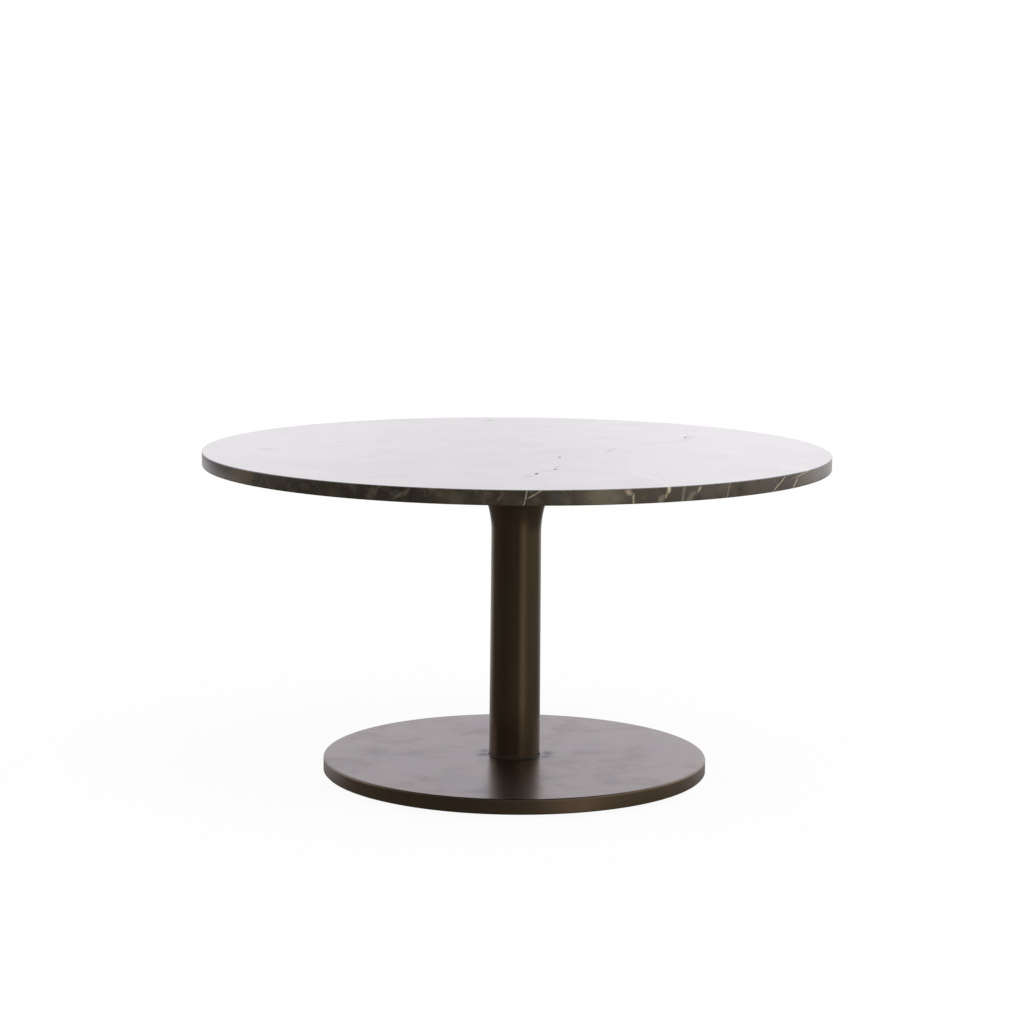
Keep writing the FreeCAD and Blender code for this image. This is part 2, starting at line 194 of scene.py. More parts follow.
def skin(mesh, lower, upper):
    """Faces between two rings."""
    for i in range(len(lower)):
        after = (i + 1) % len(lower)
        corners = dict.fromkeys([lower[i], lower[after], upper[after], upper[i]])
        mesh.faces.new(list(corners))


def spin(mesh, outline, steps, x=0.0, y=0.0):
    """Adds a closed turned form to a mesh. An outline that leaves the axis ends where it began."""
    rings = [add_ring(mesh, radius, height, steps, x, y) for radius, height in outline]
    for lower, upper in zip(rings, rings[1:]):
        skin(mesh, lower, upper)
    if outline[0][0] != 0:
        skin(mesh, rings[-1], rings[0])


def finished(name, mesh):
    """Turns a worked mesh into a piece with smooth curves and crisp edges."""
    bmesh.ops.recalc_face_normals(mesh, faces=mesh.faces)
    data = bpy.data.meshes.new(name)
    mesh.to_mesh(data)
    mesh.free()
    data.shade_smooth()
    data.set_sharp_from_angle(angle=SMOOTH_ANGLE)
    piece = bpy.data.objects.new(name, data)
    bpy.context.scene.collection.objects.link(piece)
    return piece


def turned(name, outline, steps, x=0.0, y=0.0):
    """A piece turned from one outline of radii and heights."""
    mesh = bmesh.new()
    spin(mesh, outline, steps, x, y)
    return finished(name, mesh)


def dress(piece, finish, node, body="table"):
    """Gives a new piece its finish, and its place in the frame."""
    piece.data.materials.append(finish)
    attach(piece, body)
    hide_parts(node)


def middle_of(node):
    """The lowest and highest corners of a node, and the x and y of its middle."""
    low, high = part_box(node)
    return low, high, (low.x + high.x) / 2, (low.y + high.y) / 2


def radius_of(low, high):
    """The radius of a round node, drawn just inside the flats of its CAD mesh."""
    return min(high.x - low.x, high.y - low.y) / 2


grey_rubber = moulded(
    "grey_rubber", colour(0.085, 0.085, 0.088), colour(0.15, 0.15, 0.148), 0.62, 900, 0.00004
)
sole_foot_round = 0.5 * MM
sole_top_round = 0.25 * MM
sole_lip_radius = 3.05 * MM
sole_lip = 0.8 * MM
pocket_radius = 4.5 * MM
pocket_floor = 0.7 * MM
for number in GLIDES:
    low, high, x, y = middle_of(f"glide_sole_{number}")
    radius = radius_of(low, high)
    foot_centre = (radius - sole_foot_round, low.z + sole_foot_round)
    rim_centre = (radius - sole_top_round, high.z - sole_top_round)
    sole_outline = [
        (0, low.z),
        *arc(foot_centre, sole_foot_round, 270, 360, 5),
        *arc(rim_centre, sole_top_round, 0, 90, 3),
        (sole_lip_radius, high.z),
        (sole_lip_radius, high.z - sole_lip),
        (pocket_radius, high.z - sole_lip),
        (pocket_radius, low.z + pocket_floor),
        (0, low.z + pocket_floor),
    ]
    sole = turned(f"rubber_sole_{number}", sole_outline, SMALL_STEPS, x, y)
    dress(sole, grey_rubber, f"glide_sole_{number}", f"glide_foot_{number}")


# Glide studs: M8 screws of zinc-plated steel, with a right-hand thread, a
# hexagon head held by the knob, and a button below that swivels in the sole.
def hexagon(flats):
    """The radius of a hexagon at each angle, with a corner on the X axis."""

    def radius(turn):
        return flats / 2 / math.cos(turn % (math.pi / 3) - math.pi / 6)

    return radius


def chamfer(flats, end, inward):
    """Where the turned chamfer of a hexagon's end meets its sides, at each angle."""
    side = hexagon(flats)
    slope = math.tan(math.radians(30))
    face = flats / 2 * CHAMFER_FACE

    def height(turn):
        return end + inward * (side(turn) - face) * slope

    return [(face, end), (side, height)]


def thread(major, pitch, low, high):
    """The rings of a right-hand thread, from its root to its flat crest and back."""

    def ring_at(height):
        def radius(turn):
            flank = abs(2 * ((height / pitch - turn / (2 * math.pi)) % 1) - 1)
            depth = (THREAD_CREST - flank) / (THREAD_CREST - THREAD_ROOT)
            return major - THREAD_DEPTH * pitch * min(1, max(0, depth))

        return radius

    count = round(THREAD_RINGS * (high - low) / pitch)
    heights = [low + (high - low) * i / count for i in range(count + 1)]
    return [(ring_at(height), height) for height in heights]


def zinc_plate():
    """Bright zinc: bluish clouds of plating, a faint yellow tinge and a fine drawn grain."""
    finish, start = new_finish("zinc_plate")
    place = place_of(start)
    clouds = start.noise(place, 110, 4, 0.6)
    grain = start.noise(place, 1500, 2, 0.6)
    tinge = start.noise(place, 45, 2, 0.5).step(0.5, 0.75)
    tone = clouds.step(0.3, 0.7).mix(colour(0.42, 0.43, 0.46), colour(0.64, 0.65, 0.66))
    tone = (tinge * 0.35).mix(tone, colour(0.62, 0.57, 0.44))
    coat(
        start,
        Base_Color=tone,
        Metallic=1.0,
        Roughness=0.24 + clouds * 0.18,
        Normal=start.bump(grain, 0.00001),
    )
    return finish


CHAMFER_FACE = 0.94
HEX_STEPS = 72
THREAD_DEPTH = 0.61
THREAD_CREST = 0.875
THREAD_ROOT = 0.25
THREAD_RINGS = 8
zinc = zinc_plate()
stud_radius = 4.0 * MM
stud_pitch = 1.25 * MM
stud_flats = 13.0 * MM
stud_head_height = 2.0 * MM
stud_tip_chamfer = 0.8 * MM
button_radius = 4.2 * MM
button_height = 0.8 * MM
button_round = 0.25 * MM
neck_radius = 3.0 * MM
stud_places = []
for number in GLIDES:
    low, high, x, y = middle_of(f"glide_stud_{number}")
    stud_places.append((x, y))
    head_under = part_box(f"glide_sole_{number}")[1].z
    head_top = head_under + stud_head_height
    button_rim = (button_radius - button_round, low.z + button_round)
    stud_outline = [
        (0, low.z),
        *arc(button_rim, button_round, 270, 360, 3),
        (button_radius, low.z + button_height),
        (neck_radius, low.z + button_height),
        (neck_radius, head_under),
        *chamfer(stud_flats, head_under, 1),
        (hexagon(stud_flats), head_top),
        *thread(stud_radius, stud_pitch, head_top, high.z - stud_tip_chamfer),
        (stud_radius - stud_tip_chamfer, high.z),
        (0, high.z),
    ]
    stud = turned(f"threaded_stud_{number}", stud_outline, HEX_STEPS, x, y)
    dress(stud, zinc, f"glide_stud_{number}", f"glide_screw_{number}")


# Glide knobs: fluted discs of black nylon, turned by hand to level the table.
# Each is moulded with a hexagon pocket below, which grips the head of its stud.
FLUTES = 12
FLUTE_STEPS = 24
knob_radius = 17.0 * MM
flute_radius = 3.0 * MM
flute_depth = 1.2 * MM
knob_round = 0.6 * MM
knob_bore = 4.05 * MM
knob_pocket = hexagon(13.1 * MM)


def fluted(radius, inset=0.0):
    """The radius of the knob's scalloped edge at each angle, drawn in by an inset."""
    centre = radius + flute_radius - flute_depth
    spacing = 2 * math.pi / FLUTES

    def scallop(turn):
        aside = (turn + spacing / 2) % spacing - spacing / 2
        across = centre * math.sin(aside)
        if abs(across) >= flute_radius:
            return radius - inset
        hollow = centre * math.cos(aside) - math.sqrt(flute_radius**2 - across**2)
        return min(radius, hollow) - inset

    return scallop


black_nylon = moulded(
    "black_nylon", colour(0.016, 0.016, 0.018), colour(0.034, 0.034, 0.036), 0.38, 1300, 0.00003
)
for number in GLIDES:
    low, high, x, y = middle_of(f"glide_knob_{number}")
    pocket_top = low.z + stud_head_height
    lower = arc((0, low.z + knob_round), knob_round, 270, 360, 4)
    upper = arc((0, high.z - knob_round), knob_round, 0, 90, 4)
    knob_outline = [
        (knob_pocket, low.z),
        *[(fluted(knob_radius, knob_round - out), height) for out, height in lower + upper],
        (knob_bore, high.z),
        (knob_bore, pocket_top),
        (knob_pocket, pocket_top),
    ]
    knob = turned(f"fluted_knob_{number}", knob_outline, FLUTES * FLUTE_STEPS, x, y)
    dress(knob, black_nylon, f"glide_knob_{number}", f"glide_screw_{number}")


# Base plate: a heavy cast disc that keeps the table from tipping. It is turned
# flat with a rounded upper rim, and carries a dark bronze patina under wax that
# is cloudy on the flat, and dull round the column's foot, where shade is painted on.
TURN_STEPS = 288
HOLE_STEPS = 48


def edges_round(mesh, ring):
    """The edges of a ring."""
    pairs = zip(ring, ring[1:] + ring[:1])
    return [mesh.edges.get(pair) or mesh.edges.new(pair) for pair in pairs]


def drilled(name, outline, places, hole_radius, hole_depth):
    """A turned disc whose outline starts and ends on its flat underside.

    The underside is closed round blind holes, all alike, at places given as x and y.
    """
    mesh = bmesh.new()
    rings = [add_ring(mesh, radius, height, TURN_STEPS) for radius, height in outline]
    for lower, upper in zip(rings, rings[1:]):
        skin(mesh, lower, upper)
    underside = edges_round(mesh, rings[0])
    if outline[-1][0] != 0:
        underside += edges_round(mesh, rings[-1])
    level = outline[0][1]
    for x, y in places:
        mouth = add_ring(mesh, hole_radius, level, HOLE_STEPS, x, y)
        end = add_ring(mesh, hole_radius, level + hole_depth, HOLE_STEPS, x, y)
        skin(mesh, mouth, end)
        mesh.faces.new(end)
        underside += edges_round(mesh, mouth)
    bmesh.ops.triangle_fill(mesh, use_beauty=True, use_dissolve=False, edges=underside)
    return finished(name, mesh)


def parts_of(place):
    """The x, y and z of a place."""
    split = place.node("ShaderNodeSeparateXYZ", {}, {0: place})
    return [Shade(place.tree, socket) for socket in split.socket.node.outputs]


def distance_from_axis(place):
    """How far a place is from the table's upright axis."""
    return (place * (1, 1, 0)).length()


Mark = namedtuple("Mark", "x y length width bearing weight")


def marked(start, place, marks):
    """How strongly soft oval marks show at a place.

    Each has its x, y, length and width in millimetres, the bearing of its length
    from +X in degrees, and its weight.
    """
    x, y = parts_of(place)[:2]
    strongest = 0
    for mark in marks:
        course = math.radians(mark.bearing)
        ahead, aside = math.cos(course) / MM, math.sin(course) / MM
        off_x = x - mark.x * MM
        off_y = y - mark.y * MM
        along = (off_x * ahead + off_y * aside) * (2 / mark.length)
        across = (off_y * ahead - off_x * aside) * (2 / mark.width)
        off = start.node("ShaderNodeCombineXYZ", {}, {0: along, 1: across})
        strongest = (off.length().step(1.0, 0.1) * mark.weight).larger(strongest)
    return strongest


RED_BRONZE = colour(0.110, 0.062, 0.038)
GREEN_BRONZE = colour(0.092, 0.076, 0.036)
# The dark tone of grime, and of the shade painted round the column's foot.
DIRT_AND_SHADE = colour(0.022, 0.017, 0.012)


def patina(name, dark, light, roughness, mottle, wax, stretch, grime_and_shade_at):
    """Dark bronze patina under wax, mottled by smudges. Grime and painted shade, from 0 to 1, darken
    and dull it.
    """
    finish, start = new_finish(name)
    place = place_of(start)
    clouds = start.noise(place * stretch, 6, 3, 0.5)
    smudges = start.noise(place * stretch, 22, 2, 0.55)
    swell = start.noise(place * stretch, 12, 1, 0.4)
    streaks = start.noise(place * stretch, 38, 1, 0.55)
    bronze = clouds.step(0.3, 0.7).mix(dark, light)
    bronze = (smudges.step(0.48, 0.75) * 0.6).mix(bronze, RED_BRONZE)
    bronze = (streaks.step(0.48, 0.72) * 0.5).mix(bronze, GREEN_BRONZE)
    # Grime, and the shade painted round the column's foot, from 0 to 1.
    grime_and_shade = grime_and_shade_at(start, place)
    dulled = smudges.step(0.4, 0.8) * mottle + grime_and_shade.step(0.25, 0.95) * 0.3
    coat(
        start,
        Base_Color=(grime_and_shade * 0.85).mix(bronze, DIRT_AND_SHADE),
        Metallic=0.97 - grime_and_shade * 0.6,
        Roughness=roughness + clouds * 0.05 + dulled,
        Coat_Weight=wax - grime_and_shade * wax,
        Coat_Roughness=0.2,
        Normal=start.bump(swell, 0.0003),
    )
    return finish


base_low, base_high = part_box("base_plate")
base_radius = min(-base_low.x, radius_of(base_low, base_high))
base_rim = 2.5 * MM
base_bevel = 1.5 * MM
rod_hole = 6.5 * MM
recess_radius = 26 * MM
recess_top = base_low.z + 13 * MM
rim_centre = (base_radius - base_rim, base_high.z - base_rim)
base_outline = [
    (base_radius - base_bevel, base_low.z),
    (base_radius, base_low.z + base_bevel),
    *arc(rim_centre, base_rim, 0, 90, 8),
    (base_radius - 2 * base_rim, base_high.z),
    (base_radius * 0.75, base_high.z),
    (base_radius * 0.4, base_high.z),
    (rod_hole, base_high.z),
    (rod_hole, recess_top),
    (recess_radius, recess_top),
    (recess_radius, base_low.z),
]
stud_hole_radius = 4.05 * MM
stud_hole_depth = 14 * MM
base_plate = drilled("base_disc", base_outline, stud_places, stud_hole_radius, stud_hole_depth)
foot_shade_start = 38 * MM
foot_shade_full = 31 * MM
# The two marks beside the column's foot are painted shade; the rest are dull hand marks.
BASE_MARKS = [
    Mark(-36, 4, 44, 90, 0, 0.60),
    Mark(37, 0, 42, 84, 0, 0.58),
    Mark(-164, 0, 100, 110, 0, 0.26),
    Mark(-74, -130, 130, 50, 80, 0.28),
    Mark(-50, -193, 60, 50, 0, 0.30),
    Mark(107, -137, 50, 60, 0, 0.22),
]


def base_foot_shade_and_marks(start, place):
    """Painted shade round the column's foot and in two marks beside it, and a few dull hand marks."""
    patchy = start.noise(place, 45, 1, 0.5).step(0.1, 0.6)
    # Painted shade: a dark ring round the column's foot, where it meets the plate.
    painted_foot_shade = distance_from_axis(place).step(foot_shade_start, foot_shade_full) * 0.35
    drift = start.noise(place, 30, 1, 0.6, "Color") - 0.5
    return painted_foot_shade.larger(marked(start, place + drift * 0.012, BASE_MARKS)) * patchy


base_patina = patina(
    name="base_patina",
    dark=colour(0.112, 0.076, 0.044),
    light=colour(0.154, 0.105, 0.062),
    roughness=0.28,
    mottle=0.055,
    wax=0.2,
    stretch=(1, 1, 1),
    grime_and_shade_at=base_foot_shade_and_marks,
)
dress(base_plate, base_patina, "base_plate")


# Foot spigot: a turned steel collar on the base plate, round the hole for the tie
# rod. It stands inside the column's foot and keeps it in the middle.
def turned_steel():
    """Steel as it came off the lathe: fine rings of tool marks under a film of oil."""
    finish, start = new_finish("turned_steel")
    place = place_of(start)
    marks = start.node(
        "ShaderNodeTexWave",
        {"wave_type": "RINGS", "rings_direction": "Z"},
        {"Vector": place, "Scale": 620.0, "Distortion": 1.5, "Detail": 2.0},
        "Fac",
    )
    film = start.noise(place, 35, 4, 0.6)
    tone = film.step(0.35, 0.7).mix(colour(0.30, 0.28, 0.25), colour(0.50, 0.49, 0.47))
    coat(
        start,
        Base_Color=(marks * 0.25).mix(tone, colour(0.22, 0.21, 0.20)),
        Metallic=1.0,
        Roughness=0.25 + film * 0.2,
        Normal=start.bump(marks, 0.00002),
    )
    return finish


def finish_nodes(finish, *nodes):
    """Gives nodes that keep their CAD form a finish."""
    for node in nodes:
        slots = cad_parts[node].data.materials
        slots.clear()
        slots.append(finish)


bare_steel = turned_steel()
finish_nodes(bare_steel, "foot_spigot")


# Column: one hollow casting, slightly tapered. A small cove meets the base
# plate, and the head flares out like a trumpet under the top. Same patina.
column_low, column_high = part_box("column")
foot_radius = 30.75 * MM
column_neck = 30.0 * MM
column_wall = 5 * MM
cove_radius = 1.0 * MM
foot_lip = 0.3 * MM
flare_radius = 120 * MM
flare_height = 76 * MM
register_depth = 3 * MM
flare_start = column_high.z - flare_height
flare_angle = math.degrees(math.asin(flare_height / flare_radius))
flare_centre = (column_neck + flare_radius, flare_start)
cove_centre = (foot_radius + cove_radius, column_low.z + foot_lip + cove_radius)
inner_flare = flare_radius + column_wall
mouth_angle = math.degrees(math.asin((flare_height - register_depth) / inner_flare))
side_steps = 6
side_outline = [
    (
        foot_radius + (column_neck - foot_radius) * i / side_steps,
        cove_centre[1] + (flare_start - cove_centre[1]) * i / side_steps,
    )
    for i in range(1, side_steps)
]
head_outline = arc(flare_centre, flare_radius, 180, 180 - flare_angle, 40)
head_radius = head_outline[-1][0]
column_outline = [
    (foot_radius - column_wall, column_low.z),
    (foot_radius + cove_radius, column_low.z),
    *arc(cove_centre, cove_radius, 270, 180, 12),
    *side_outline,
    *head_outline,
    (head_radius - column_wall, column_high.z),
    (head_radius - column_wall, column_high.z - register_depth),
    *arc(flare_centre, inner_flare, 180 - mouth_angle, 180, 20),
]
column = turned("column_casting", column_outline, TURN_STEPS)
lower_darkening_top = column_low.z + 34 * MM
cove_shade_top = column_low.z + 5 * MM
cove_shade_full = column_low.z + 1.5 * MM


def column_foot_shade(start, place):
    """Painted shade in the cove at the foot, and a little darkening on the sides above it."""
    height = parts_of(place)[2]
    patchy = start.noise(place, 60, 1, 0.5).step(0.15, 0.6)
    darker_low = height.step(lower_darkening_top, column_low.z) * 0.2 * patchy
    # Painted shade: the cove where the column meets the plate turns to the dark tone.
    return darker_low.larger(height.step(cove_shade_top, cove_shade_full) * 0.95)


column_patina = patina(
    name="column_patina",
    dark=colour(0.092, 0.061, 0.034),
    light=colour(0.128, 0.086, 0.049),
    roughness=0.20,
    mottle=0.02,
    wax=0.06,
    stretch=(1, 1, 0.25),
    grime_and_shade_at=column_foot_shade,
)
dress(column, column_patina, "column")


# Tie rod: a steel rod, M12, that clamps base, column and mounting plate. It is
# threaded at both ends, screws into the boss above, and is drawn tight below.
rod_low, rod_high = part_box("tie_rod")
rod_radius = 6 * MM
rod_pitch = 1.75 * MM
rod_chamfer = 0.9 * MM
lower_thread = 34 * MM
upper_thread = 26 * MM
shank_radius = 5.9 * MM
rod_outline = [
    (0, rod_low.z),
    (rod_radius - rod_chamfer, rod_low.z),
    *thread(rod_radius, rod_pitch, rod_low.z + rod_chamfer, rod_low.z + lower_thread),
    (shank_radius, rod_low.z + lower_thread + rod_chamfer),
    (shank_radius, rod_high.z - upper_thread - rod_chamfer),
    *thread(rod_radius, rod_pitch, rod_high.z - upper_thread, rod_high.z - rod_chamfer),
    (rod_radius - rod_chamfer, rod_high.z),
    (0, rod_high.z),
]
tie_rod = turned("threaded_rod", rod_outline, SMALL_STEPS)
dress(tie_rod, zinc, "tie_rod")


# Rod nut and washers: the hexagon nut in the base plate's recess, over a split
# spring washer and a wide flat washer. All are zinc plated.
nut_low, nut_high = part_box("rod_nut")
nut_flats = 18 * MM
nut_bore = 6.05 * MM
bore_chamfer = 0.6 * MM
nut_outline = [
    (nut_bore + bore_chamfer, nut_low.z),
    *chamfer(nut_flats, nut_low.z, 1),
    *reversed(chamfer(nut_flats, nut_high.z, -1)),
    (nut_bore + bore_chamfer, nut_high.z),
    (nut_bore, nut_high.z - bore_chamfer),
    (nut_bore, nut_low.z + bore_chamfer),
]
rod_nut = turned("hexagon_nut", nut_outline, HEX_STEPS)
dress(rod_nut, zinc, "rod_nut")
finish_nodes(zinc, "rod_washer", "rod_spring_washer")


# Mounting plate: a laser-cut steel disc that carries the stone, with the boss
# and the centring ring welded below. The disc has a dark bronze powder coat.
def powder_coat():
    """Baked powder: a dark satin skin with orange peel and a few dust nibs."""
    finish, start = new_finish("bronze_powder_coat")
    place = place_of(start)
    peel = start.noise(place, 420, 2, 0.5)
    clouds = start.noise(place, 18, 3, 0.5)
    nibs = start.noise(place, 260, 1, 0.5).step(0.72, 0.8)
    tone = clouds.step(0.3, 0.7).mix(colour(0.040, 0.034, 0.028), colour(0.058, 0.049, 0.040))
    coat(
        start,
        Base_Color=(nibs * 0.4).mix(tone, colour(0.11, 0.095, 0.08)),
        Metallic=0.25,
        Roughness=0.40 + clouds * 0.12,
        Normal=start.bump(peel + nibs, 0.00006),
    )
    return finish


finish_nodes(powder_coat(), "mounting_plate")
finish_nodes(bare_steel, "rod_boss", "centring_ring")


# Top gasket: a ring cut from black sheet rubber, which beds the stone on the
# plate so that no bolt can crack it.
black_rubber = moulded(
    "black_rubber", colour(0.018, 0.018, 0.018), colour(0.050, 0.049, 0.047), 0.66, 700, 0.00005
)
finish_nodes(black_rubber, "top_gasket")


# Marble top: a sawn disc of dark olive-brown stone with brown clouds and fine
# cream veins. Its face is polished, its rim honed, its underside left dull, and
# both rims have a fine arris.
top_low, top_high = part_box("marble_top")
top_radius = min(-top_low.x, radius_of(top_low, top_high))
top_thickness = top_high.z - top_low.z
arris = 1.5 * MM
insert_hole_radius = 5.2 * MM
insert_hole_depth = 10 * MM
insert_circle = 105 * MM
upper_arris = (top_radius - arris, top_high.z - arris)
lower_arris = (top_radius - arris, top_low.z + arris)
top_outline = [
    (top_radius - 2 * arris, top_low.z),
    *arc(lower_arris, arris, 270, 360, 6),
    *arc(upper_arris, arris, 0, 90, 6),
    (top_radius - 2 * arris, top_high.z),
    (top_radius * 0.8, top_high.z),
    (top_radius * 0.5, top_high.z),
    (top_radius * 0.2, top_high.z),
    (0, top_high.z),
]
insert_places = [
    (insert_circle * math.cos(turn), insert_circle * math.sin(turn))
    for turn in (0, math.pi / 2, math.pi, 1.5 * math.pi)
]
marble_top = drilled("marble_disc", top_outline, insert_places, insert_hole_radius, insert_hole_depth)

# Veins that cross the rim. The angle is where one meets the rim, in degrees from
# the front towards +X, and its course turns from straight inwards by a bearing.
# It leans towards +X on its way up, has a half width in millimetres, a paleness,
# the share of the slab's height that it shows on, and a length in millimetres.
Vein = namedtuple("Vein", "angle bearing lean half_width paleness low high length")
VEINS = [
    Vein(1.5, 24, 0.22, 0.55, 0.45, 0.00, 1.00, 150),
    Vein(2.1, -32, 1.25, 0.80, 0.55, 0.48, 1.00, 190),
    Vein(18.9, 20, -0.30, 2.60, 0.48, 0.62, 0.95, 60),
    Vein(19.5, 18, 0.05, 0.80, 0.55, 0.00, 0.66, 210),
    Vein(25.8, -14, 0.10, 1.50, 0.85, 0.60, 1.00, 260),
    Vein(25.5, -14, 0.20, 0.75, 0.55, 0.35, 0.70, 200),
    Vein(24.9, -20, 0.45, 2.60, 0.20, 0.00, 0.50, 90),
    Vein(28.7, 8, 0.10, 1.40, 0.22, 0.00, 0.90, 110),
    Vein(31.4, -38, 0.50, 1.10, 0.52, 0.60, 0.85, 150),
    Vein(30.6, -38, 0.60, 2.20, 0.18, 0.00, 0.60, 80),
    Vein(38.1, 28, 0.27, 0.60, 0.28, 0.00, 1.00, 230),
    Vein(51.2, 20, 1.45, 0.90, 0.74, 0.00, 0.92, 280),
    Vein(56.9, 25, 0.85, 1.00, 0.82, 0.05, 0.60, 170),
    Vein(52.0, 0, 8.00, 5.00, 0.50, 0.72, 1.00, 150),
    Vein(-19.4, 10, 1.35, 1.60, 0.09, 0.20, 1.00, 120),
    Vein(-18.6, 14, 0.90, 0.90, 0.12, 0.45, 0.80, 60),
    Vein(-2.7, 40, 0.50, 1.30, 0.08, 0.30, 0.80, 90),
    Vein(86.0, -22, 0.40, 0.55, 0.70, 0.00, 1.00, 240),
    Vein(112.0, 31, -0.60, 0.75, 0.80, 0.00, 1.00, 300),
    Vein(131.0, -40, 0.90, 0.50, 0.60, 0.20, 1.00, 200),
    Vein(158.0, 12, 0.20, 0.90, 0.85, 0.00, 1.00, 340),
    Vein(189.0, 36, -0.30, 0.50, 0.60, 0.00, 0.80, 190),
    Vein(214.0, -25, 0.70, 0.70, 0.75, 0.00, 1.00, 260),
    Vein(243.0, 18, 0.30, 0.55, 0.55, 0.30, 1.00, 220),
    Vein(262.0, -48, -0.80, 0.60, 0.65, 0.00, 1.00, 180),
]

# Soft clouds of another tone, each about a point near the rim: its angle, how
# far it lies in from the rim and how far it reaches in millimetres, and its weight.
Bloom = namedtuple("Bloom", "angle inset reach tone weight")
RUST = colour(0.088, 0.057, 0.033)
OLIVE = colour(0.108, 0.096, 0.058)
SOOT = colour(0.018, 0.012, 0.008)
SLATE = colour(0.042, 0.039, 0.032)
TAUPE = colour(0.066, 0.054, 0.040)
MOSS = colour(0.040, 0.034, 0.018)
SAND = colour(0.125, 0.108, 0.082)
BLOOMS = [
    Bloom(54.0, 60, 260, TAUPE, 0.85),
    Bloom(63.0, 0, 56, SAND, 0.75),
    Bloom(14.5, 0, 40, OLIVE, 0.75),
    Bloom(7.0, 0, 18, SLATE, 0.6),
    Bloom(3.7, 0, 7, SOOT, 0.8),
    Bloom(23.0, 0, 10, SLATE, 0.3),
    Bloom(40.5, 0, 24, MOSS, 0.75),
    Bloom(-56.0, 0, 38, RUST, 0.85),
    Bloom(-38.0, 0, 9, RUST, 0.30),
    Bloom(-20.0, 0, 8, SLATE, 0.8),
    Bloom(-16.0, 0, 20, SOOT, 0.7),
    Bloom(-10.0, 0, 16, OLIVE, 0.2),
    Bloom(-8.0, 160, 90, OLIVE, 0.45),
    Bloom(-70.0, 230, 110, RUST, 0.35),
    Bloom(120.0, 150, 130, OLIVE, 0.5),
    Bloom(150.0, 20, 60, RUST, 0.6),
    Bloom(-120.0, 60, 120, TAUPE, 0.7),
    Bloom(-150.0, 240, 90, RUST, 0.35),
]

# Natural fissures and pits in the polished face.
FISSURES = [
    Mark(22, -233, 26, 6.5, 80, 1.0),
    Mark(14, -255, 44, 20.0, 70, 0.22),
    Mark(31, -212, 36, 16.0, 65, 0.16),
    Mark(43, -191, 24, 5.5, 85, 0.75),
    Mark(47, -165, 60, 8.0, 82, 0.20),
    Mark(50, -76, 46, 5.0, 84, 0.55),
    Mark(211, 151, 28, 5.5, 80, 0.90),
    Mark(213, 140, 120, 20.0, 70, 0.16),
    Mark(-37, 331, 34, 9.0, 40, 0.60),
    Mark(-297, -18, 34, 24.0, 8, 0.22),
    Mark(148, 298, 60, 16.0, 20, 0.18),
    Mark(112, 1, 70, 14.0, 75, 0.20),
    Mark(118, -156, 34, 12.0, 10, 0.20),
    Mark(-55, 27, 60, 18.0, 5, 0.12),
    Mark(14, 33, 50, 18.0, 6, 0.10),
]


def rim_point(angle, inset=0.0):
    """The x and y of a point at an angle from the front, some way in from the rim."""
    turn = math.radians(angle)
    out = top_radius - inset
    return out * math.sin(turn), -out * math.cos(turn)


def veins_in(warped, jitter):
    """How much of each point is cream vein, from the sheets that the veins lie on."""
    x, y, z = parts_of(warped)
    share = (z - top_low.z) * (1 / top_thickness)
    cream = 0
    for vein in VEINS:
        at_x, at_y = rim_point(vein.angle)
        course = math.radians(vein.angle + vein.bearing)
        across_x, across_y = math.cos(course), math.sin(course)
        offset = at_x * across_x + at_y * across_y
        lean = (share - 0.5) * (vein.lean * top_thickness)
        aside = abs(x * across_x + y * across_y - offset - lean + jitter)
        sheet = aside.step(vein.half_width * 2.1 * MM, vein.half_width * 0.2 * MM)
        away = (warped * (1, 1, 0)).distance((at_x, at_y, 0))
        sheet = sheet * away.step(vein.length * MM, vein.length * 0.4 * MM) * vein.paleness
        if vein.low > 0:
            sheet = sheet * share.step(vein.low - 0.12, vein.low + 0.08)
        if vein.high < 1:
            sheet = sheet * share.step(vein.high + 0.12, vein.high - 0.08)
        cream = sheet.larger(cream)
    return cream


DARK_STONE = colour(0.018, 0.0135, 0.0070)
BROWN_STONE = colour(0.039, 0.030, 0.017)
PALE_GRAIN = colour(0.090, 0.074, 0.050)
DEEP_GRAIN = colour(0.014, 0.011, 0.007)
FLECK = colour(0.10, 0.085, 0.055)
CREAM = colour(0.46, 0.39, 0.27)
WORN_ARRIS = colour(0.30, 0.27, 0.20)
PIT = colour(0.012, 0.010, 0.008)


